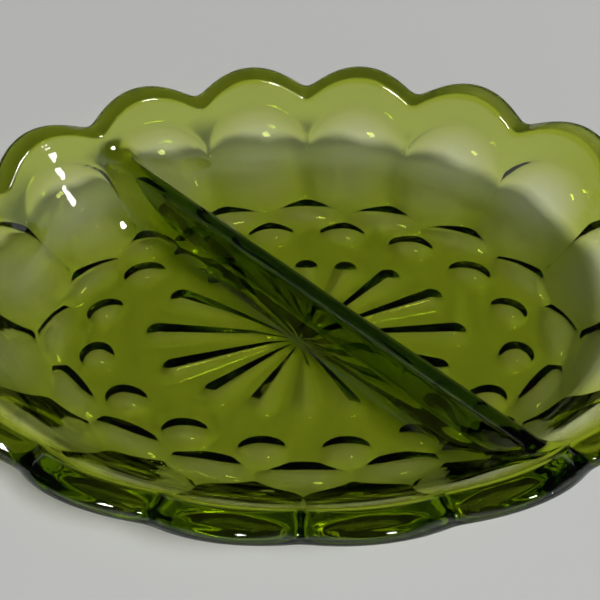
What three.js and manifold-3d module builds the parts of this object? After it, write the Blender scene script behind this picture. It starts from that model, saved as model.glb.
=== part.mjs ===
// Two-part oval relish dish in pressed green glass.
// Millimetres, +Z up, resting on z = 0, with the long axis of the oval along X.
// The plunger leaves the inside smooth. The mould cuts three staggered rows of thumbprints
// into the outside and a sixteen-ray star into the underside.
import * as THREE from 'three';
import { mergeVertices } from 'three/addons/utils/BufferGeometryUtils.js';
import Module from 'manifold-3d';

const wasm = await Module();
wasm.setup();
const { Manifold, Mesh } = wasm;

// Plan oval and scallops
const OVAL_LONG = 111.3; // half length of the plan oval that the rim follows
const OVAL_SHORT = 82.3; // half width of the same oval
const SCALLOPS = 16; // scallops, counted once round the rim
const SCALLOP_RISE = 6.95; // rise of a scallop, measured up the sloping wall
const NOTCH_SOFTNESS = 0.06; // rounding of the notch between scallops, in scallop widths

// Section through floor and wall
const FLOOR_GLASS = 5.5; // thickness of the floor
const WALL_GLASS = 6.8; // thickness of the wall between its prints
const BASE_INSET = 37.1; // from the plan oval in to the edge of the flat base
const CORNER_RADIUS = 28; // outside turn from base to wall
const CORNER_TURN = 58; // slope of the wall where that turn ends, in degrees
const WALL_RADIUS = 500; // slow curve of the wall above the turn
const NOTCH_REACH = 54.2; // edge of the flat base to the rim at a notch, up the outside
const LIP_ANGLE = 60; // between the outside of the wall and the level top of the rim, in degrees
const LIP_OUTER = 2.4; // rounding of the outer edge of the rim
const LIP_INNER = 0.5; // rounding of its inner edge

// Thumbprints: middle, half length and depth up the wall, half width in scallop widths
// Upper prints are full hollows that lean up: deepest near their tops, with a ramp below
const UPPER = { centre: 26.4, halfLength: 19.4, halfWidth: 0.565, depth: 4.4, shift: 0.5 };
const MIDDLE = { centre: 5.2, halfLength: 6.7, halfWidth: 0.53, depth: 3, shift: 0 };
const LOWER = { centre: -3.3, halfLength: 5.7, halfWidth: 0.34, depth: 2.6, shift: 0.5 };
const LOWER_END_SHIFT = 5; // how much nearer the middle the lower prints lie at the two ends
const UPPER_FULLNESS = 0.65; // 1 is a parabola, less is a fuller hollow with steeper edges
const UPPER_LEAN = 0.4; // share by which the depth grows towards the top

// Star under the floor
const RAYS = 16;
const STAR_LONG = 51.2; // half length of the oval that the ray tips reach
const STAR_SHORT = 30.3; // half width of that oval
const RAY_SQUEEZE = 0.8; // rays lean towards the long axis by this ratio
const RAY_START = 2.5; // distance of the thin end of a ray from the middle
const RAY_HALF_WIDTH = 4.8; // half width of the round outer end
const RAY_DEPTH = 2.3; // depth of the V-shaped cut there
const RAY_TAPER = 0.85; // how the width grows along the ray

// Divider across the dish
const DIVIDER_TURN = -41; // direction of the divider seen from above, in degrees from +X
const RIDGE_HEIGHT = 29; // top of the divider above the table
const RIDGE_RADIUS = 2.7; // rounding of its top
const DIVIDER_DRAFT = 7; // lean of each face, in degrees
const FOOT_FILLET = 6; // fillet between divider and floor
const END_FILLET = 4.5; // fillet between divider and wall
const END_FILLET_FADE = 12; // height above the floor over which that fillet dies out
const END_OVERRUN = 2; // how far the divider runs into the wall before it is trimmed to fit

// Where the casting is parted into nodes, and the clearance at the curved divider ends
const FLOOR_RISE = 3.5; // from the floor up to the top of star_floor
const RIM_DROP = 4.2; // from a notch down to the foot of scalloped_rim
const CLEARANCE = 0.3;
const HEADROOM = 20; // how far cutting shapes reach past the dish

// Mesh fineness
const STEPS = 8; // columns in one scallop
const TOLERANCE = 0.03; // finest detail kept where cuts meet
const NUDGE = 0.01; // small step along the rim, in scallop widths, that shows its direction
const END_STATIONS = [0, 0.06, 0.17, 0.37, 0.66, 1]; // where the end fillet is drawn, as shares of it
const FACE_CROWDING = 1.7; // levels of the divider's face lie closer together near its foot
const HALVINGS = 40; // halvings in a search for a crossing
const COLUMNS = SCALLOPS * STEPS;

const radians = THREE.MathUtils.degToRad;

// Plan oval: equal scallops are equal lengths along the rim
function makeRimTable(count) {
  const lengths = [0];
  let last = [0, OVAL_SHORT];
  for (let i = 1; i <= count; i += 1) {
    const angle = Math.PI / 2 - (2 * Math.PI * i) / count;
    const next = [OVAL_LONG * Math.cos(angle), OVAL_SHORT * Math.sin(angle)];
    lengths.push(lengths[i - 1] + Math.hypot(next[0] - last[0], next[1] - last[1]));
    last = next;
  }
  return lengths;
}

const RIM_TABLE = makeRimTable(3600);
const RIM_LENGTH = RIM_TABLE[RIM_TABLE.length - 1];

// Oval angle at scallop count u, which starts at the middle of the +Y side and runs to +X
function ovalAngle(u) {
  const turns = Math.floor(u / SCALLOPS);
  const wanted = ((u / SCALLOPS) - turns) * RIM_LENGTH;
  let low = 0;
  let high = RIM_TABLE.length - 1;
  while (high - low > 1) {
    const middle = (low + high) >> 1;
    if (RIM_TABLE[middle] <= wanted) {
      low = middle;
    } else {
      high = middle;
    }
  }
  const part = (wanted - RIM_TABLE[low]) / (RIM_TABLE[high] - RIM_TABLE[low]);
  return Math.PI / 2 - 2 * Math.PI * (turns + (low + part) / (RIM_TABLE.length - 1));
}

// Point of the dish at oval angle, inset from the plan oval and height
function place(angle, inset, z) {
  const x = (OVAL_LONG - inset) * Math.cos(angle);
  const y = (OVAL_SHORT - inset) * Math.sin(angle);
  return new THREE.Vector3(x, y, z);
}

// Width of one scallop at scallop count u and an inset
function pitch(u, inset) {
  const a = place(ovalAngle(u - NUDGE), inset, 0);
  const b = place(ovalAngle(u + NUDGE), inset, 0);
  return a.distanceTo(b) / (2 * NUDGE);
}

// Section of the outside: reach is measured from the edge of the flat base up the wall
const CORNER_REACH = CORNER_RADIUS * radians(CORNER_TURN);

function section(reach, inward) {
  let slope = 0;
  let inset = BASE_INSET - reach;
  let z = 0;
  if (reach > 0) {
    slope = Math.min(reach, CORNER_REACH) / CORNER_RADIUS;
    inset = BASE_INSET - CORNER_RADIUS * Math.sin(slope);
    z = CORNER_RADIUS * (1 - Math.cos(slope));
  }
  if (reach > CORNER_REACH) {
    const start = slope;
    slope = start + (reach - CORNER_REACH) / WALL_RADIUS;
    inset -= WALL_RADIUS * (Math.sin(slope) - Math.sin(start));
    z += WALL_RADIUS * (Math.cos(start) - Math.cos(slope));
  }
  return {
    inset: inset + inward * Math.sin(slope),
    z: z + inward * Math.cos(slope),
  };
}

// Glass between outside and inside, which grows in the turn from floor to wall
function thickness(reach) {
  const grown = THREE.MathUtils.smoothstep(reach, 0, CORNER_REACH);
  return FLOOR_GLASS + (WALL_GLASS - FLOOR_GLASS) * grown;
}

// Point of the inside, or one that clears it by a set distance
function insidePoint(reach, clear) {
  return section(reach, thickness(reach) + clear);
}

// Reach of the rim: round scallops that meet in softened notches
function rimReach(u) {
  const f = u - Math.floor(u);
  const fromNotch = Math.min(f, 1 - f);
  const soft = Math.hypot(fromNotch, NOTCH_SOFTNESS) - NOTCH_SOFTNESS;
  const full = Math.hypot(0.5, NOTCH_SOFTNESS) - NOTCH_SOFTNESS;
  const t = soft / full;
  return NOTCH_REACH + SCALLOP_RISE * t * (2 - t);
}

// Share of the depth of one row of thumbprints, negative outside the print
function printShare(row, u, reach) {
  const centre = Math.round(u - row.shift) + row.shift;
  const widthHere = pitch(u, section(reach, 0).inset);
  const widthMiddle = pitch(u, section(row.centre, 0).inset);
  const across = ((u - centre) * widthHere) / widthMiddle / row.halfWidth;
  const along = (reach - row.centre) / row.halfLength;
  return 1 - across * across - along * along;
}

function middleDepth(u, reach) {
  return MIDDLE.depth * printShare(MIDDLE, u, reach);
}

function upperDepth(u, reach) {
  const share = printShare(UPPER, u, reach);
  const along = THREE.MathUtils.clamp((reach - UPPER.centre) / UPPER.halfLength, -1, 1);
  const full = share > 0 ? share ** UPPER_FULLNESS : share;
  return UPPER.depth * (1 + UPPER_LEAN * along) * full;
}

// Reach between low and high at which a rising function crosses zero
function crossing(rising, low, high) {
  for (let i = 0; i < HALVINGS; i += 1) {
    const middle = (low + high) / 2;
    if (rising(middle) < 0) {
      low = middle;
    } else {
      high = middle;
    }
  }
  return (low + high) / 2;
}

// Rim section: a level top between two rounded edges, in steps up the wall and into the glass
function lipProfile() {
  const angle = radians(LIP_ANGLE);
  const turn = Math.PI - angle;
  const outerEdge = -LIP_OUTER / Math.tan(angle / 2);
  const innerEdge = -WALL_GLASS / Math.tan(angle) - LIP_INNER * Math.tan(angle / 2);
  const profile = [];
  const outerSteps = 5;
  for (let i = 0; i <= outerSteps; i += 1) {
    const t = (turn * i) / outerSteps;
    profile.push({ up: outerEdge + LIP_OUTER * Math.sin(t), inward: LIP_OUTER * (1 - Math.cos(t)) });
  }
  const innerSteps = 2;
  for (let i = 0; i <= innerSteps; i += 1) {
    const t = turn + (angle * i) / innerSteps;
    const inward = WALL_GLASS - LIP_INNER * (1 + Math.cos(t));
    profile.push({ up: innerEdge + LIP_INNER * Math.sin(t), inward });
  }
  return profile;
}

const LIP = lipProfile();

// Points of one column: up the outside, over the lip and down the inside
function outsideColumn(u) {
  const upper = (reach) => upperDepth(u, reach);
  const middle = (reach) => middleDepth(u, reach);
  const start = MIDDLE.centre - MIDDLE.halfLength;
  const foot = crossing(middle, start, MIDDLE.centre);
  const seam = crossing((reach) => upper(reach) - middle(reach), MIDDLE.centre, UPPER.centre);
  const crown = crossing((reach) => -upper(reach), UPPER.centre, NOTCH_REACH);
  const reaches = [start - MIDDLE.halfLength, foot];
  const middleSteps = 4;
  for (let i = 1; i <= middleSteps; i += 1) {
    reaches.push(foot + ((seam - foot) * i) / middleSteps);
  }
  const upperSteps = 6;
  for (let i = 1; i <= upperSteps; i += 1) {
    reaches.push(seam + ((crown - seam) * (1 - Math.cos((Math.PI * i) / upperSteps))) / 2);
  }
  reaches.push(rimReach(u) + LIP[0].up);
  return reaches.map((reach) => section(reach, Math.max(0, upper(reach), middle(reach))));
}

function lipColumn(u) {
  return LIP.slice(1, -1).map(({ up, inward }) => section(rimReach(u) + up, inward));
}

function insideColumn(top, clear) {
  const points = [];
  const wallSteps = 2;
  for (let i = wallSteps; i >= 1; i -= 1) {
    points.push(insidePoint(CORNER_REACH + ((top - CORNER_REACH) * i) / wallSteps, clear));
  }
  const cornerSteps = 6;
  for (let i = cornerSteps; i >= 0; i -= 1) {
    points.push(insidePoint((CORNER_REACH * i) / cornerSteps, clear));
  }
  return points;
}

// Closed solid from columns round the oval, with a fan over each open end
function loftColumns(columnAt) {
  const positions = [];
  const index = [];
  let rows = 0;
  for (let c = 0; c < COLUMNS; c += 1) {
    const u = c / STEPS;
    const column = columnAt(u);
    rows = column.length;
    for (const p of column) {
      positions.push(...place(ovalAngle(u), p.inset, p.z).toArray());
    }
  }
  const first = positions.length / 3;
  positions.push(0, 0, positions[2]);
  positions.push(0, 0, positions[3 * (rows - 1) + 2]);
  for (let c = 0; c < COLUMNS; c += 1) {
    const a = c * rows;
    const b = ((c + 1) % COLUMNS) * rows;
    index.push(first, a, b);
    index.push(first + 1, b + rows - 1, a + rows - 1);
    for (let r = 0; r + 1 < rows; r += 1) {
      index.push(a + r, a + r + 1, b + r + 1);
      index.push(a + r, b + r + 1, b + r);
    }
  }
  const geometry = new THREE.BufferGeometry();
  geometry.setAttribute('position', new THREE.Float32BufferAttribute(positions, 3));
  geometry.setIndex(index);
  return geometry;
}

// Between three.js geometry and closed solids
function solid(geometry) {
  const plain = new THREE.BufferGeometry();
  plain.setAttribute('position', geometry.getAttribute('position').clone());
  if (geometry.index) {
    plain.setIndex(geometry.index.clone());
  }
  const welded = mergeVertices(plain, 1e-4);
  const mesh = new Mesh({
    numProp: 3,
    vertProperties: Float32Array.from(welded.getAttribute('position').array),
    triVerts: Uint32Array.from(welded.index.array),
  });
  mesh.merge();
  return Manifold.ofMesh(mesh);
}

function toGeometry(body) {
  const mesh = body.getMesh();
  const geometry = new THREE.BufferGeometry();
  geometry.setAttribute('position', new THREE.Float32BufferAttribute(mesh.vertProperties, 3));
  geometry.setIndex(new THREE.Uint32BufferAttribute(mesh.triVerts, 1));
  geometry.computeVertexNormals();
  return geometry;
}

function slab(bottom, top) {
  const box = new THREE.BoxGeometry(3 * OVAL_LONG, 3 * OVAL_SHORT, top - bottom);
  box.translate(0, 0, (bottom + top) / 2);
  return solid(box);
}

// One lower thumbprint, cut up into the edge of the base: a round hollow, parabolic in section
function lowerPrint(u) {
  const reach = LOWER.centre - LOWER_END_SHIFT * Math.cos(ovalAngle(u)) ** 2;
  const inset = section(reach, 0).inset;
  const before = place(ovalAngle(u - NUDGE), inset, 0);
  const after = place(ovalAngle(u + NUDGE), inset, 0);
  const outline = [new THREE.Vector2(0, -1), new THREE.Vector2(1, -1)];
  const hollowSteps = 4;
  for (let i = 0; i < hollowSteps; i += 1) {
    const radius = Math.cos((Math.PI * i) / (2 * hollowSteps));
    outline.push(new THREE.Vector2(radius, 1 - radius * radius));
  }
  outline.push(new THREE.Vector2(0, 1));
  const hollow = new THREE.LatheGeometry(outline, 12);
  hollow.rotateX(Math.PI / 2);
  hollow.scale(LOWER.halfWidth * pitch(u, inset), LOWER.halfLength, LOWER.depth);
  hollow.rotateZ(Math.atan2(after.y - before.y, after.x - before.x));
  const spot = place(ovalAngle(u), inset, 0);
  hollow.translate(spot.x, spot.y, 0);
  return solid(hollow);
}

// One ray of the star: a V-shaped cut, thin towards the middle and round outside
function starRay(k) {
  const even = (2 * Math.PI * k) / RAYS;
  const heading = Math.atan2(RAY_SQUEEZE * Math.sin(even), Math.cos(even));
  const tip = 1 / Math.hypot(Math.cos(heading) / STAR_LONG, Math.sin(heading) / STAR_SHORT);
  const last = tip - RAY_HALF_WIDTH;
  const outline = [];
  const shaftSteps = 4;
  for (let i = 0; i <= shaftSteps; i += 1) {
    const t = i / shaftSteps;
    const width = RAY_HALF_WIDTH * t ** RAY_TAPER;
    outline.push(new THREE.Vector2(width, RAY_START + (last - RAY_START) * t));
  }
  const capSteps = 4;
  for (let i = 1; i < capSteps; i += 1) {
    const turn = (Math.PI * i) / (2 * capSteps);
    const width = RAY_HALF_WIDTH * Math.cos(turn);
    outline.push(new THREE.Vector2(width, last + RAY_HALF_WIDTH * Math.sin(turn)));
  }
  outline.push(new THREE.Vector2(0, tip));
  const cut = new THREE.LatheGeometry(outline, 4);
  cut.rotateZ(-Math.PI / 2);
  cut.scale(1, 1, RAY_DEPTH / RAY_HALF_WIDTH);
  cut.rotateZ(heading);
  return solid(cut);
}

// Divider: rounded ridge, drafted faces, filleted foot, and ends that widen into the wall
function insideInset(z) {
  const reach = crossing((r) => insidePoint(r, 0).z - z, 0, NOTCH_REACH + SCALLOP_RISE);
  return insidePoint(reach, 0).inset;
}

function wallDistance(z) {
  const inset = insideInset(z);
  const turn = radians(DIVIDER_TURN);
  const x = Math.cos(turn) / (OVAL_LONG - inset);
  const y = Math.sin(turn) / (OVAL_SHORT - inset);
  return 1 / Math.hypot(x, y);
}

function fillet(distance, radius) {
  const inside = Math.min(Math.max(radius - distance, 0), radius);
  return radius - Math.sqrt(radius * radius - inside * inside);
}

// Heights of the levels up one face, from the floor to the middle of the ridge
function dividerLevels() {
  const levels = [];
  const lean = radians(DIVIDER_DRAFT);
  const shoulder = RIDGE_HEIGHT - RIDGE_RADIUS * (1 - Math.sin(lean));
  const edge = RIDGE_RADIUS * Math.cos(lean);
  const faceSteps = 9;
  for (let i = 0; i <= faceSteps; i += 1) {
    const z = FLOOR_GLASS + (shoulder - FLOOR_GLASS) * (i / faceSteps) ** FACE_CROWDING;
    const half = edge + (shoulder - z) * Math.tan(lean) + fillet(z - FLOOR_GLASS, FOOT_FILLET);
    levels.push({ z, half, spread: Math.min(1, (z - FLOOR_GLASS) / END_FILLET_FADE) });
  }
  const ridgeSteps = 4;
  for (let i = 1; i <= ridgeSteps; i += 1) {
    const turn = lean + ((Math.PI / 2 - lean) * i) / ridgeSteps;
    const spread = i === ridgeSteps ? 0 : Math.cos(turn) / Math.cos(lean);
    levels.push({ z: RIDGE_HEIGHT - RIDGE_RADIUS * (1 - Math.sin(turn)), half: edge * spread, spread });
  }
  return levels;
}

// Stations run along the divider: near an end they keep a set distance from the sloping wall,
// and the last one lies well outside it
function dividerGeometry() {
  const levels = dividerLevels();
  const gaps = [-END_OVERRUN, ...END_STATIONS.map((share) => share * END_FILLET)];
  const stations = [{ end: -1, gap: -END_OVERRUN, outside: true }];
  stations.push(...gaps.map((gap) => ({ end: -1, gap })));
  stations.push(...gaps.toReversed().map((gap) => ({ end: 1, gap })));
  stations.push({ end: 1, gap: -END_OVERRUN, outside: true });
  const positions = [];
  const index = [];
  const ring = 2 * levels.length - 1;
  for (const { end, gap, outside } of stations) {
    const flare = fillet(gap, END_FILLET);
    const loop = levels.map(({ z, half, spread }) => {
      const along = outside ? OVAL_LONG : wallDistance(z) - gap;
      const share = (z - FLOOR_GLASS) / (RIDGE_HEIGHT - FLOOR_GLASS);
      return [end * along, half + flare * spread, z + flare * share];
    });
    const mirrored = loop.slice(0, -1).reverse().map(([x, y, z]) => [x, -y, z]);
    for (const point of loop.concat(mirrored)) {
      positions.push(...point);
    }
  }
  for (let s = 0; s + 1 < stations.length; s += 1) {
    for (let i = 0; i < ring; i += 1) {
      const a = s * ring + i;
      const b = s * ring + ((i + 1) % ring);
      index.push(a, b, b + ring, a, b + ring, a + ring);
    }
  }
  const last = (stations.length - 1) * ring;
  for (let i = 0; i + 1 < levels.length; i += 1) {
    const other = ring - 1 - i;
    index.push(i, other, i + 1);
    index.push(last + i, last + i + 1, last + other);
    if (i + 2 < levels.length) {
      index.push(i + 1, other, other - 1);
      index.push(last + i + 1, last + other - 1, last + other);
    }
  }
  const geometry = new THREE.BufferGeometry();
  geometry.setAttribute('position', new THREE.Float32BufferAttribute(positions, 3));
  geometry.setIndex(index);
  geometry.rotateZ(radians(DIVIDER_TURN));
  return geometry;
}

// Room inside the dish, kept clear of the wall by the clearance and open at the top
function roomColumn() {
  const inside = insideColumn(NOTCH_REACH + SCALLOP_RISE, CLEARANCE).reverse();
  const top = inside[inside.length - 1];
  return [insidePoint(0, 0), ...inside, { inset: top.inset, z: top.z + HEADROOM }];
}

// Whole casting, with the lower thumbprints and the star cut from it
function castBody() {
  const blank = solid(loftColumns((u) => [
    ...outsideColumn(u),
    ...lipColumn(u),
    ...insideColumn(rimReach(u) + LIP[LIP.length - 1].up, 0),
  ]));
  const cuts = [];
  for (let k = 0; k < SCALLOPS; k += 1) {
    cuts.push(lowerPrint(k + LOWER.shift));
  }
  for (let k = 0; k < RAYS; k += 1) {
    cuts.push(starRay(k));
  }
  return blank.subtract(Manifold.union(cuts));
}

const casting = castBody();
const room = solid(loftColumns(roomColumn));

const floorSplit = FLOOR_GLASS + FLOOR_RISE;
const rimSplit = section(NOTCH_REACH, 0).z - RIM_DROP;
const sky = section(NOTCH_REACH + SCALLOP_RISE, 0).z + HEADROOM;

const bodies = {
  star_floor: casting.intersect(slab(-HEADROOM, floorSplit)),
  thumbprint_wall: casting.intersect(slab(floorSplit, rimSplit)),
  scalloped_rim: casting.intersect(slab(rimSplit, sky)),
  divider: solid(dividerGeometry()).intersect(room),
};

// Green glass, a shade deeper where the casting is thick
const GLASS_COLOURS = {
  star_floor: 0x74821c,
  thumbprint_wall: 0x7f8c2e,
  scalloped_rim: 0x848f38,
  divider: 0x4d5a0c,
};

const dish = new THREE.Group();
dish.name = 'divided_dish';
for (const [name, rough] of Object.entries(bodies)) {
  const body = rough.simplify(TOLERANCE);
  const material = new THREE.MeshStandardMaterial({
    color: GLASS_COLOURS[name],
    roughness: 0.05,
    metalness: 0,
    transparent: true,
    opacity: 0.45,
  });
  const mesh = new THREE.Mesh(toGeometry(body), material);
  mesh.name = name;
  dish.add(mesh);
  console.log(name, body.numTri(), 'triangles', body.volume().toFixed(0), 'cubic mm');
}

export default dish;
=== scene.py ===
# Two-part oval relish dish in pressed green glass, standing on a pale floor.
# The glass is one closed mesh: thumbprints and a star outside, a smooth inside and one divider.
import math

import bmesh
import bpy
import numpy as np
from mathutils import Euler, Matrix, Vector


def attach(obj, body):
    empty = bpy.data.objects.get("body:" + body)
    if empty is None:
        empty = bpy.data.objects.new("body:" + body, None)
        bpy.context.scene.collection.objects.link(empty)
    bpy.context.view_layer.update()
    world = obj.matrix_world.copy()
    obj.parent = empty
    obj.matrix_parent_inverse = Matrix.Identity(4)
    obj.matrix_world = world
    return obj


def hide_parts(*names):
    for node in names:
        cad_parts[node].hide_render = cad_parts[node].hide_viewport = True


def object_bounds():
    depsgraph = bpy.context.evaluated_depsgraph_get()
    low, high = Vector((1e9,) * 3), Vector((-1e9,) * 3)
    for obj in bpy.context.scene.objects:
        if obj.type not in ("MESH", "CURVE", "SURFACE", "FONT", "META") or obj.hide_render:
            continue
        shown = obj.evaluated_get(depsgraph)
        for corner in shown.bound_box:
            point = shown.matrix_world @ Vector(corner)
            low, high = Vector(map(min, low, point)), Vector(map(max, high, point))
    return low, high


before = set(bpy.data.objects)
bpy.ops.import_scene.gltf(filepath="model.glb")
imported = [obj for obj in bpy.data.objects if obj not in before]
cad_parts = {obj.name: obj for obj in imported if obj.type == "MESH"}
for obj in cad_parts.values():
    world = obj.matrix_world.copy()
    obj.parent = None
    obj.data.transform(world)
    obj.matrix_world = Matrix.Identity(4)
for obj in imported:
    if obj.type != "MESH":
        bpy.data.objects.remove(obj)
cad_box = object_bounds()

MM = 0.001

# Plan oval and scallops, in millimetres as all sizes of the dish
OVAL_LONG = 111.3  # half length of the plan oval that the rim follows
OVAL_SHORT = 82.3  # half width of the same oval
SCALLOPS = 16
SCALLOP_RISE = 6.95  # rise of a scallop, up the sloping wall
NOTCH_SOFTNESS = 0.06  # rounding of the notch between scallops, in scallop widths

# Section through floor and wall
FLOOR_GLASS = 5.5  # thickness of the floor
WALL_GLASS = 6.8  # thickness of the wall at the end of the turn, between its prints
RIM_SWELL = 1.5  # how much thicker the wall has grown at a notch of the rim
BASE_INSET = 37.1  # from the plan oval in to the edge of the flat base
CORNER_RADIUS = 28  # outside turn from base to wall
CORNER_TURN = math.radians(58)  # slope of the wall where that turn ends
CORNER_REACH = CORNER_RADIUS * CORNER_TURN
WALL_RADIUS = 500  # slow curve of the wall above the turn
NOTCH_REACH = 54.2  # edge of the flat base to the rim at a notch, up the outside
LIP_ANGLE = math.radians(60)  # from the outside of the wall to the level top of the rim
LIP_OUTER = 2.4  # rounding of the outer edge of the rim
LIP_INNER = 2.2  # rounding of its inner edge
LIP_DEPTH = 4.5  # reach from the outer edge of the rim down to its inner edge

# Thumbprints: centre and half length up the outside of the wall, half width in scallop widths.
# A shift of 0.5 puts a row below the scallops, and 0 puts it below the notches. A fullness of 1 is
# a parabola, less is a fuller hollow with steeper edges, and a fade adds to it towards the top.
# A lean above 0 is deeper towards the top. An end shift brings the prints nearer the middle of the
# dish at its two ends.
UPPER = dict(
    centre=27, half_length=20, half_width=0.565, depth=5.2,
    shift=0.5, fullness=0.65, fade=0.25, lean=0.4, end_shift=0,
)
MIDDLE = dict(
    centre=5.2, half_length=6.7, half_width=0.53, depth=3.0,
    shift=0, fullness=1, fade=0, lean=0, end_shift=0,
)
LOWER = dict(
    centre=-3.3, half_length=5.7, half_width=0.34, depth=2.6,
    shift=0.5, fullness=1, fade=0, lean=0, end_shift=5,
)
PRINT_SOFTNESS = 0.12  # rounding of the ridges where prints meet

# Star under the floor
RAYS = 16
STAR_LONG = 51.2  # half length of the oval that the ray tips reach
STAR_SHORT = 30.3  # half width of that oval
RAY_SQUEEZE = 0.8  # rays lean towards the long axis by this ratio
RAY_START = 2.5  # distance of the thin end of a ray from the middle
RAY_HALF_WIDTH = 4.8  # half width near the round outer end
RAY_DEPTH = 2.3  # depth of the cut there
RAY_TAPER = 0.85  # how the width grows along the ray
RAY_SOFTNESS = 0.25  # rounding of the bottom of the cut
RAY_EDGE_SOFTNESS = RAY_SOFTNESS / 3  # rounding of its edges
OUTSIDE_RAY = -100.0  # stands for a point that is nowhere near a ray

# Divider across the dish
DIVIDER_TURN = math.radians(-41)  # direction seen from above, from +X
RIDGE_HEIGHT = 29  # top of the divider above the table
RIDGE_RADIUS = 2.7  # rounding of its top
DIVIDER_DRAFT = math.radians(7)  # lean of each face
FOOT_FILLET = 6  # fillet between divider and floor
END_FILLET = 4.5  # fillet between divider and wall
FILLET_FADE = 12  # height above the floor over which one becomes the other

# Fineness of the rings over the outside and the lip
COLUMNS = SCALLOPS * 32  # points round each ring
STAR_ROWS = 64  # rings from the middle of the underside to the plain ring
RING_REACH = -11  # plain ring between the star and the lower thumbprints
FINE_END = 17  # reach up to which the rings stay close together
FINE_ROWS = 52  # rings from the plain ring up to there
WALL_ROWS = 36  # rings from there up to the lip
LIP_STEPS = 10  # rings over the outer edge of the rim, and half as many over the inner
INNER_ROWS = 7  # rings from the lip down the inside

# Fineness of the grid over the inside
JOIN_REACH = 46.5  # reach where the grid ends, inside the rim
JOIN_GAP = 0.8  # strip between the grid and the last ring
RIDGE_ROWS = 9  # rows over half of the divider's ridge
FACE_ROWS = 17  # rows down one of its faces
FOOT_ROWS = 14  # rows over the fillet at its foot
FOOT_SPREAD = 1.3  # width of those rows, in fillets
FOOT_SPACING = 1.6  # how they draw apart, away from the divider
SIDE_ROWS = 34  # rows from there to the wall
CHORD_STEPS = 132  # steps along each row
END_CROWDING = 0.35  # how much the steps crowd towards the two ends of a row

# Fineness of tables and searches
RIM_SAMPLES = 7200  # steps in measuring the length of the rim
INNER_SAMPLES = 600  # steps up the section of the inside
SOLVER_STEPS = 44  # halvings in each search
SEARCH_BELOW = 1.0  # how far under the bowl the search for the divider's height begins
SLIVER = 1e-6  # keeps the narrowest oval from closing up

# Glass, with sizes in metres
GLASS_SURFACE = (0.97, 0.98, 0.94, 1)
GLASS_INDEX = 1.5
GLASS_TINT = (0.81, 0.862, 0.16, 1)
TINT_DENSITY = 385
RIPPLE_SCALE = 90  # slow waves of a pressed surface
RIPPLE_DETAIL = 2
RIPPLE_STRENGTH = 0.3
RIPPLE_HEIGHT = 0.0006
SMEAR_SCALE = 35  # patches where the gloss is duller
SMEAR_DETAIL = 5
SMEAR_START = 0.45  # noise level where a patch begins
SMEAR_FULL = 0.75  # noise level where it is dullest
CLEAN_ROUGHNESS = 0.015
SMEAR_ROUGHNESS = 0.06

# Floor
FLOOR_DROP = 0.3  # the floor lies this far under the glass
FLOOR_SIZE = 5000
FLOOR_COLOUR = (0.62, 0.62, 0.61, 1)
FLOOR_ROUGHNESS = 0.9
FLOOR_SPECULAR = 0.1

# Lamps: one high at the front right and a small window low on the same side, in metres and watts
KEY_LAMP = dict(spot=(1.329, -1.584, 3.30), target=(0, 0, 0), size=0.84, power=121)
WINDOW_LAMP = dict(spot=(0.80, -0.525, 0.165), target=(0, 0, 0.02), size=0.03, power=0.09)

# Room: dim overhead and behind, brighter low down in front, with a low pale backdrop all round
ROOM_COLOUR = (0.98, 0.99, 1, 1)
ROOM_LEVEL = 0.02  # light from the room overhead and behind
HORIZON_LEVEL = 1.0  # light from the room low down in front
HORIZON_FULL = 0.15  # sine of the elevation up to which it is even
HORIZON_TOP = 0.7  # sine of the elevation where it has faded out
HORIZON_HEADING = (0.3, -0.954, 0)  # where it is brightest
HORIZON_AHEAD = 0.4  # cosine of the angle to that heading, up to which it is even
HORIZON_BEHIND = -0.2  # cosine of that angle where it has faded out
BACKDROP_LEVEL = 0.5  # pale backdrop past the edge of the floor
BACKDROP_FULL = 0.08  # sine of the elevation up to which it is even
BACKDROP_TOP = 0.14  # sine of the elevation where it has faded out

# Camera that the photograph was taken with, in millimetres, radians and pixels
CAMERA_TARGET = 15  # height of the point that it is set up around
CAMERA_DISTANCE = 274.1  # from that point
CAMERA_ELEVATION = math.radians(54)
CAMERA_AZIMUTH = 0.0327
CAMERA_AIM = (0.0088, 0.0122)  # how far the aim is turned left and up from that point
CAMERA_ROLL = -0.0354
CAMERA_NEAR = 10  # nothing nearer than this is drawn
FOCAL_PIXELS = 907
IMAGE_PIXELS = 600
SENSOR = 36


# Plan oval: equal scallops are equal lengths along the rim
def rim_table(count):
    """Share of the rim's length at evenly spaced oval angles, and those angles."""
    angle = np.pi / 2 - np.linspace(0, 2 * np.pi, count + 1)
    x = OVAL_LONG * np.cos(angle)
    y = OVAL_SHORT * np.sin(angle)
    steps = np.hypot(np.diff(x), np.diff(y))
    length = np.concatenate([[0], np.cumsum(steps)])
    return length / length[-1], angle


RIM_SHARE, RIM_ANGLE = rim_table(RIM_SAMPLES)


def oval_angle(u):
    """Oval angle at scallop count u, which starts at the middle of the +Y side and runs to +X."""
    turns = np.floor(u / SCALLOPS)
    return np.interp(u / SCALLOPS - turns, RIM_SHARE, RIM_ANGLE) - 2 * np.pi * turns


def place(angle, inset, z):
    """Point of the dish at an oval angle, an inset from the plan oval and a height."""
    x = (OVAL_LONG - inset) * np.cos(angle)
    y = (OVAL_SHORT - inset) * np.sin(angle)
    return np.stack(np.broadcast_arrays(x, y, z), axis=-1)


def oval_pace(angle, inset):
    """Length along the oval for one unit of oval angle."""
    return np.hypot((OVAL_LONG - inset) * np.sin(angle), (OVAL_SHORT - inset) * np.cos(angle))


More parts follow.
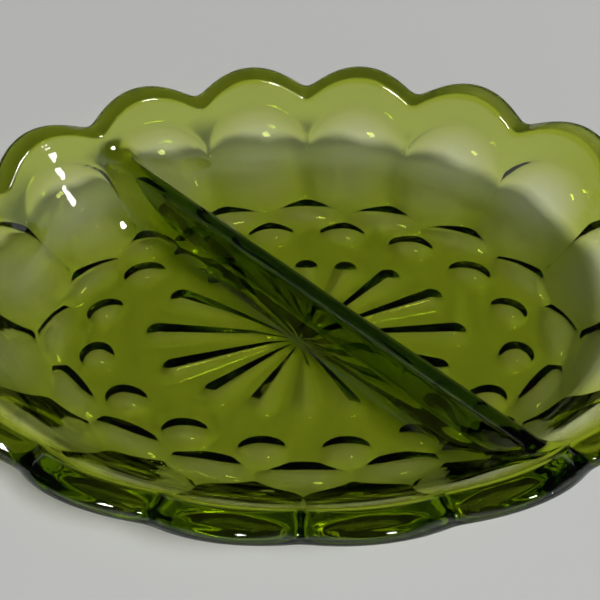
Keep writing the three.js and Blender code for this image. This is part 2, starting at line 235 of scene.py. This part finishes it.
# Section: reach is the length up the outside, from the edge of the flat base
def section(reach, inward=0.0):
    """Inset and height of a point, by its reach up the outside and its depth into the glass."""
    corner = np.clip(reach, 0, CORNER_REACH) / CORNER_RADIUS
    slope = corner + np.maximum(reach - CORNER_REACH, 0) / WALL_RADIUS
    inset = BASE_INSET - np.minimum(reach, 0) - CORNER_RADIUS * np.sin(corner)
    inset = inset - WALL_RADIUS * (np.sin(slope) - np.sin(corner))
    z = CORNER_RADIUS * (1 - np.cos(corner)) + WALL_RADIUS * (np.cos(corner) - np.cos(slope))
    return inset + inward * np.sin(slope), z + inward * np.cos(slope)


def smooth_step(share):
    return share * share * (3 - 2 * share)


def thickness(reach):
    """Glass between outside and inside, which grows from floor to wall and up to the rim."""
    share = np.clip(reach / CORNER_REACH, 0, 1)
    wall = FLOOR_GLASS + (WALL_GLASS - FLOOR_GLASS) * smooth_step(share)
    up = np.maximum(reach - CORNER_REACH, 0) / (NOTCH_REACH - CORNER_REACH)
    return wall + RIM_SWELL * up


def rim_reach(u):
    """Reach of the rim: round scallops that meet in softened notches."""
    share = u - np.floor(u)
    soft = np.hypot(np.minimum(share, 1 - share), NOTCH_SOFTNESS) - NOTCH_SOFTNESS
    t = soft / (math.hypot(0.5, NOTCH_SOFTNESS) - NOTCH_SOFTNESS)
    return NOTCH_REACH + SCALLOP_RISE * t * (2 - t)


# Cuts into the outside
def soft_max(a, b, softness):
    """The greater of two values, with a rounded change from one to the other."""
    return 0.5 * (a + b + np.sqrt((a - b) ** 2 + softness ** 2))


def print_depth(row, u, reach):
    """Depth of one row of thumbprints, negative outside the prints."""
    centre = np.round(u - row["shift"]) + row["shift"]
    angle = oval_angle(u)
    middle = row["centre"] - row["end_shift"] * np.cos(oval_angle(centre)) ** 2
    wider = oval_pace(angle, section(reach)[0]) / oval_pace(angle, section(middle)[0])
    across = (u - centre) * wider / row["half_width"]
    along = (reach - middle) / row["half_length"]
    share = 1 - across ** 2 - along ** 2
    height = np.clip(along, -1, 1)
    depth = row["depth"] * (1 + row["lean"] * height)
    power = row["fullness"] + row["fade"] * np.maximum(height, 0)
    return depth * np.where(share > 0, np.abs(share) ** power, share)


def wall_depth(u, reach):
    """Depth of the thumbprints, with rounded ridges where they meet."""
    depth = np.zeros(np.broadcast(u, reach).shape)
    for row in (UPPER, MIDDLE, LOWER):
        depth = soft_max(depth, print_depth(row, u, reach), PRINT_SOFTNESS)
    return depth


def star_depth(x, y):
    """Depth of the star: V-shaped cuts that widen outwards and end round."""
    inside = np.full(x.shape, OUTSIDE_RAY)
    for k in range(RAYS):
        even = 2 * math.pi * k / RAYS
        heading = math.atan2(RAY_SQUEEZE * math.sin(even), math.cos(even))
        tip = 1 / math.hypot(math.cos(heading) / STAR_LONG, math.sin(heading) / STAR_SHORT)
        last = tip - RAY_HALF_WIDTH
        along = x * math.cos(heading) + y * math.sin(heading)
        across = np.hypot(y * math.cos(heading) - x * math.sin(heading), RAY_SOFTNESS)
        grown = np.clip((along - RAY_START) / (last - RAY_START), 0, 1) ** RAY_TAPER
        straight = RAY_HALF_WIDTH * grown - across
        rounded = RAY_HALF_WIDTH - np.hypot(np.maximum(along - last, 0), across)
        ray = np.where(along < last, straight, rounded)
        inside = np.maximum(inside, np.where(along < RAY_START, OUTSIDE_RAY, ray))
    return soft_max(0, inside * RAY_DEPTH / RAY_HALF_WIDTH, RAY_EDGE_SOFTNESS)


# Inside of the dish
INNER_REACH = np.linspace(0, NOTCH_REACH, INNER_SAMPLES)
INNER_INSET, INNER_Z = section(INNER_REACH, thickness(INNER_REACH))
INNER_COSINE = np.cos(np.arctan2(np.gradient(INNER_Z), -np.gradient(INNER_INSET)))


def inset_at(x, y):
    """Inset of the oval that passes through a point of the plan."""
    low = np.full(x.shape, 0.0)
    high = np.full(x.shape, OVAL_SHORT - SLIVER)
    for _ in range(SOLVER_STEPS):
        middle = (low + high) / 2
        outside = (x / (OVAL_LONG - middle)) ** 2 + (y / (OVAL_SHORT - middle)) ** 2 > 1
        high = np.where(outside, middle, high)
        low = np.where(outside, low, middle)
    return (low + high) / 2


def bowl_height(x, y):
    """Height of the inside without its divider, and the cosine of its slope there."""
    inset = -inset_at(x, y)
    height = np.interp(inset, -INNER_INSET, INNER_Z)
    return height, np.interp(inset, -INNER_INSET, INNER_COSINE)


def divider_distance(across, z):
    """Distance from the divider: a round ridge with two drafted faces."""
    up = z - (RIDGE_HEIGHT - RIDGE_RADIUS)
    face = np.abs(across) * math.cos(DIVIDER_DRAFT) + up * math.sin(DIVIDER_DRAFT)
    over = up * math.cos(DIVIDER_DRAFT) - np.abs(across) * math.sin(DIVIDER_DRAFT)
    return np.where(over > 0, np.hypot(across, up), face) - RIDGE_RADIUS


def inside_height(x, y):
    """Height of the inside, with the divider rising out of floor and wall in a round fillet."""
    bowl, cosine = bowl_height(x, y)
    across = y * math.cos(DIVIDER_TURN) - x * math.sin(DIVIDER_TURN)
    low = bowl - SEARCH_BELOW
    high = np.maximum(bowl, RIDGE_HEIGHT) + 2 * FOOT_FILLET
    r = np.interp(bowl, [FLOOR_GLASS, FLOOR_GLASS + FILLET_FADE], [FOOT_FILLET, END_FILLET])
    for _ in range(SOLVER_STEPS):
        z = (low + high) / 2
        a = (z - bowl) * cosine
        b = divider_distance(across, z)
        rounded = np.hypot(np.maximum(r - a, 0), np.maximum(r - b, 0))
        free = np.maximum(r, np.minimum(a, b)) - rounded > 0
        high = np.where(free, z, high)
        low = np.where(free, low, z)
    return (low + high) / 2


def divider_rows(reach):
    """Distances of the rows from the middle of the divider, close together over its faces."""
    edge = RIDGE_RADIUS * math.cos(DIVIDER_DRAFT)
    face = edge + (RIDGE_HEIGHT - FLOOR_GLASS - FOOT_FILLET) * math.tan(DIVIDER_DRAFT)
    ridge = edge * np.sin(np.linspace(0, np.pi / 2, RIDGE_ROWS))
    faces = np.linspace(edge, face, FACE_ROWS)[1:]
    apart = np.linspace(0, 1, FOOT_ROWS)[1:] ** FOOT_SPACING
    foot = face + FOOT_SPREAD * FOOT_FILLET * apart
    turn = np.linspace(math.asin(foot[-1] / reach), np.pi / 2, SIDE_ROWS)[1:-1]
    half = np.concatenate([ridge, faces, foot, reach * np.sin(turn)])
    return np.concatenate([-half[:0:-1], half])


def inside_grid():
    """Grid over the inside, with rows along the divider, and its two end points."""
    inset, height = section(JOIN_REACH, thickness(JOIN_REACH))
    a = OVAL_LONG - inset
    b = OVAL_SHORT - inset
    c = math.cos(DIVIDER_TURN)
    s = math.sin(DIVIDER_TURN)
    reach = math.hypot(a * s, b * c)
    across = divider_rows(reach)[:, None]
    square = (c / a) ** 2 + (s / b) ** 2
    linear = across * c * s * (1 / b ** 2 - 1 / a ** 2)
    rest = across ** 2 * ((s / a) ** 2 + (c / b) ** 2) - 1
    middle = -linear / square
    half = np.sqrt(middle ** 2 - rest / square)
    t = np.linspace(-1, 1, CHORD_STEPS + 1)[None, :]
    along = middle + half * t * (1 + END_CROWDING - END_CROWDING * t ** 2)
    x = along * c - across * s
    y = along * s + across * c
    grid = np.stack([x, y, inside_height(x, y)], axis=-1)
    pole = np.array([-a * a * s / reach, b * b * c / reach, height])
    return grid, pole * np.array([-1, -1, 1]), pole


# Rim: a level land between two rounded edges
def lip_profile(glass):
    """Steps up the wall and depths into the glass, from the outside over the rim to the inside."""
    turn = math.pi - LIP_ANGLE
    inner_edge = -glass / math.tan(LIP_ANGLE) - LIP_INNER * math.tan(LIP_ANGLE / 2)
    outer_edge = -LIP_OUTER / math.tan(LIP_ANGLE / 2)
    arcs = [
        (outer_edge, LIP_OUTER, LIP_OUTER, np.linspace(0, turn, LIP_STEPS)),
        (inner_edge, glass - LIP_INNER, LIP_INNER, np.linspace(turn, math.pi, LIP_STEPS // 2)),
    ]
    profile = []
    for up, inward, radius, turns in arcs:
        profile += [(up + radius * math.sin(t), inward - radius * math.cos(t)) for t in turns]
    return profile


def shell_rings():
    """Rings of points over the outside and the lip, from the middle of the underside."""
    u = np.arange(COLUMNS) * SCALLOPS / COLUMNS
    angle = oval_angle(u)
    rim = rim_reach(u)
    lip = lip_profile(thickness(rim - LIP_DEPTH))
    rings = []
    start = RING_REACH - LOWER["end_shift"] * np.cos(angle) ** 2
    edge = place(angle, section(start)[0], 0.0)
    for share in np.linspace(0, 1, STAR_ROWS + 1)[1:]:
        ring = edge * share
        ring[:, 2] = star_depth(ring[:, 0], ring[:, 1])
        rings.append(ring)
    reaches = []
    for share in np.linspace(0, 1, FINE_ROWS + 1)[1:]:
        reaches.append(start + (FINE_END - start) * share)
    for share in np.linspace(0, 1, WALL_ROWS + 1)[1:]:
        reaches.append(FINE_END + (rim + lip[0][0] - FINE_END) * share)
    for reach in reaches:
        rings.append(place(angle, *section(reach, wall_depth(u, reach))))
    for up, inward in lip[1:]:
        rings.append(place(angle, *section(rim + up, inward)))
    top = rim + lip[-1][0]
    for share in np.linspace(0, 1, INNER_ROWS + 1)[1:]:
        reach = top + (JOIN_REACH + JOIN_GAP - top) * share
        rings.append(place(angle, *section(reach, thickness(reach))))
    return rings


# Closed mesh from the rings, the grid and the strip between them
def ring_faces(rings):
    """Faces between neighbouring rings."""
    faces = []
    for r in range(rings - 1):
        for c in range(COLUMNS):
            n = (c + 1) % COLUMNS
            a = r * COLUMNS
            faces.append((a + c, a + n, a + n + COLUMNS, a + c + COLUMNS))
    return faces


def grid_faces(index, low, high):
    """Faces of the grid, closed by a fan at each of its two end points."""
    rows, steps = index.shape
    faces = []
    for r in range(rows - 1):
        for c in range(steps - 1):
            faces.append((index[r, c], index[r, c + 1], index[r + 1, c + 1], index[r + 1, c]))
    for c in range(steps - 1):
        faces.append((low, index[0, c + 1], index[0, c]))
        faces.append((high, index[-1, c], index[-1, c + 1]))
    return faces


def plan_angles(points, loop):
    """Oval angle of each point of a loop, as seen from above."""
    at = points[np.array(loop)]
    return np.arctan2(at[:, 1] / OVAL_SHORT, at[:, 0] / OVAL_LONG)


def by_angle(points, loop):
    """The loop, put in rising order of its oval angle, which starts next to the -X side."""
    order = np.argsort(plan_angles(points, loop))
    return [loop[i] for i in order]


def rising_turn(points, loop):
    """Rising oval angle round a loop, with its first point again after a full turn."""
    angle = np.unwrap(plan_angles(points, loop))
    return np.append(angle, angle[0] + 2 * np.pi)


def zip_loops(points, left, right):
    """Triangles between two closed loops, each given in the order of its oval angle."""
    faces = []
    left_turn = rising_turn(points, left)
    right_turn = rising_turn(points, right)
    i = 0
    j = 0
    while i < len(left) or j < len(right):
        if j == len(right) or (i < len(left) and left_turn[i + 1] <= right_turn[j + 1]):
            faces.append((left[i], left[(i + 1) % len(left)], right[j % len(right)]))
            i += 1
        else:
            faces.append((left[i % len(left)], right[(j + 1) % len(right)], right[j]))
            j += 1
    return faces


def fit_to_frame(points):
    """The points, drawn in by a hair where the smooth oval bulges past the faceted frame."""
    low = np.array(cad_box[0]) / MM
    high = np.array(cad_box[1]) / MM
    share = np.minimum(1, np.minimum(high[:2] / points.max(0)[:2], low[:2] / points.min(0)[:2]))
    tall = min(1, high[2] / points[:, 2].max())
    return points * np.array([share[0], share[1], tall])


def glass_mesh():
    rings = shell_rings()
    grid, low_end, high_end = inside_grid()
    rows, steps = grid.shape[:2]
    points = np.concatenate([*rings, grid.reshape(-1, 3), [low_end, high_end, [0, 0, 0]]])
    first = len(rings) * COLUMNS
    low, high, hub = first + rows * steps + np.arange(3)
    points[hub, 2] = star_depth(np.zeros(1), np.zeros(1))[0]
    index = first + np.arange(rows * steps).reshape(rows, steps)
    last_ring = list(range(first - COLUMNS, first))
    grid_edge = [low, *index[:, -1], high, *index[::-1, 0]]
    faces = ring_faces(len(rings))
    faces += [(hub, (c + 1) % COLUMNS, c) for c in range(COLUMNS)]
    faces += grid_faces(index, low, high)
    faces += zip_loops(points, by_angle(points, last_ring), by_angle(points, grid_edge))
    faces = [tuple(int(i) for i in face) for face in faces]
    mesh = bpy.data.meshes.new("dish_glass")
    mesh.from_pydata((fit_to_frame(points) * MM).tolist(), [], faces)
    shape = bmesh.new()
    shape.from_mesh(mesh)
    bmesh.ops.recalc_face_normals(shape, faces=shape.faces)
    shape.to_mesh(mesh)
    shape.free()
    mesh.shade_smooth()
    return mesh


# Nodes that materials and room share
def set_inputs(node, values):
    for name, value in values.items():
        node.inputs[name].default_value = value


def map_range(tree, value, start, end, low=0, high=1, smooth=True):
    """The value, mapped to run from low at its start to high at its end."""
    node = tree.nodes.new("ShaderNodeMapRange")
    node.interpolation_type = "SMOOTHSTEP" if smooth else "LINEAR"
    set_inputs(node, {"From Min": start, "From Max": end, "To Min": low, "To Max": high})
    tree.links.new(value, node.inputs["Value"])
    return node.outputs["Result"]


def noise(tree, where, scale, detail):
    node = tree.nodes.new("ShaderNodeTexNoise")
    set_inputs(node, {"Scale": scale, "Detail": detail})
    tree.links.new(where, node.inputs["Vector"])
    return node.outputs["Fac"]


def combine(tree, operation, first, second):
    node = tree.nodes.new("ShaderNodeMath")
    node.operation = operation
    tree.links.new(first, node.inputs[0])
    tree.links.new(second, node.inputs[1])
    return node.outputs["Value"]


# Materials
def green_glass():
    """Clear glass with a green body, slow ripples and duller patches."""
    material = bpy.data.materials.new("green_glass")
    material.use_nodes = True
    tree = material.node_tree
    shader = tree.nodes["Principled BSDF"]
    set_inputs(shader, {"Base Color": GLASS_SURFACE, "Transmission Weight": 1, "IOR": GLASS_INDEX})
    where = tree.nodes.new("ShaderNodeTexCoord").outputs["Object"]
    bump = tree.nodes.new("ShaderNodeBump")
    set_inputs(bump, {"Strength": RIPPLE_STRENGTH, "Distance": RIPPLE_HEIGHT})
    tree.links.new(noise(tree, where, RIPPLE_SCALE, RIPPLE_DETAIL), bump.inputs["Height"])
    tree.links.new(bump.outputs["Normal"], shader.inputs["Normal"])
    smear = noise(tree, where, SMEAR_SCALE, SMEAR_DETAIL)
    gloss = map_range(
        tree, smear, SMEAR_START, SMEAR_FULL, CLEAN_ROUGHNESS, SMEAR_ROUGHNESS, smooth=False,
    )
    tree.links.new(gloss, shader.inputs["Roughness"])
    tint = tree.nodes.new("ShaderNodeVolumeAbsorption")
    set_inputs(tint, {"Color": GLASS_TINT, "Density": TINT_DENSITY})
    tree.links.new(tint.outputs["Volume"], tree.nodes["Material Output"].inputs["Volume"])
    return material


def pale_floor():
    material = bpy.data.materials.new("pale_floor")
    material.use_nodes = True
    shader = material.node_tree.nodes["Principled BSDF"]
    set_inputs(shader, {
        "Base Color": FLOOR_COLOUR,
        "Roughness": FLOOR_ROUGHNESS,
        "Specular IOR Level": FLOOR_SPECULAR,
    })
    return material


# Object and floor
glass = bpy.data.objects.new("dish_glass", glass_mesh())
bpy.context.collection.objects.link(glass)
glass.data.materials.append(green_glass())
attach(glass, "root")
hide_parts("star_floor", "thumbprint_wall", "scalloped_rim", "divider")

bpy.ops.mesh.primitive_plane_add(size=FLOOR_SIZE * MM, location=(0, 0, -FLOOR_DROP * MM))
floor = bpy.context.object
floor.name = "floor"
floor.data.materials.append(pale_floor())


# Light
def area_lamp(name, spot, target, size, power):
    light = bpy.data.lights.new(name, "AREA")
    light.shape = "SQUARE"
    light.size = size
    light.energy = power
    lamp = bpy.data.objects.new(name, light)
    lamp.location = spot
    aim = Vector(target) - Vector(spot)
    lamp.rotation_euler = aim.to_track_quat("-Z", "Y").to_euler()
    bpy.context.collection.objects.link(lamp)


def room():
    world = bpy.data.worlds.new("room")
    world.use_nodes = True
    tree = world.node_tree
    heading = tree.nodes.new("ShaderNodeTexCoord").outputs["Generated"]
    split = tree.nodes.new("ShaderNodeSeparateXYZ")
    tree.links.new(heading, split.inputs["Vector"])
    height = split.outputs["Z"]
    facing = tree.nodes.new("ShaderNodeVectorMath")
    facing.operation = "DOT_PRODUCT"
    facing.inputs[1].default_value = HORIZON_HEADING
    tree.links.new(heading, facing.inputs[0])
    low_down = map_range(tree, height, HORIZON_TOP, HORIZON_FULL)
    in_front = map_range(tree, facing.outputs["Value"], HORIZON_BEHIND, HORIZON_AHEAD)
    horizon = combine(tree, "MULTIPLY", low_down, in_front)
    level = map_range(tree, horizon, 0, 1, ROOM_LEVEL, HORIZON_LEVEL, smooth=False)
    backdrop = map_range(tree, height, BACKDROP_TOP, BACKDROP_FULL, high=BACKDROP_LEVEL)
    background = tree.nodes["Background"]
    background.inputs["Color"].default_value = ROOM_COLOUR
    brighter = combine(tree, "MAXIMUM", level, backdrop)
    tree.links.new(brighter, background.inputs["Strength"])
    return world


area_lamp("key", **KEY_LAMP)
area_lamp("window", **WINDOW_LAMP)
bpy.context.scene.world = room()


# Camera
def photo_camera():
    level = CAMERA_DISTANCE * math.cos(CAMERA_ELEVATION)
    spot = Vector((
        level * math.sin(CAMERA_AZIMUTH),
        -level * math.cos(CAMERA_AZIMUTH),
        CAMERA_TARGET + CAMERA_DISTANCE * math.sin(CAMERA_ELEVATION),
    ))
    tilt = math.pi / 2 - CAMERA_ELEVATION + CAMERA_AIM[1]
    turn = Euler((tilt, 0, CAMERA_AZIMUTH + CAMERA_AIM[0]), "XYZ").to_matrix()
    turn = turn @ Matrix.Rotation(CAMERA_ROLL, 3, "Z")
    data = bpy.data.cameras.new("camera")
    data.sensor_width = SENSOR
    data.lens = FOCAL_PIXELS / IMAGE_PIXELS * SENSOR
    data.clip_start = CAMERA_NEAR * MM
    camera = bpy.data.objects.new("camera", data)
    camera.matrix_world = Matrix.Translation(spot * MM) @ turn.to_4x4()
    bpy.context.collection.objects.link(camera)
    bpy.context.scene.camera = camera


photo_camera()
bpy.context.scene.view_settings.view_transform = "Standard"
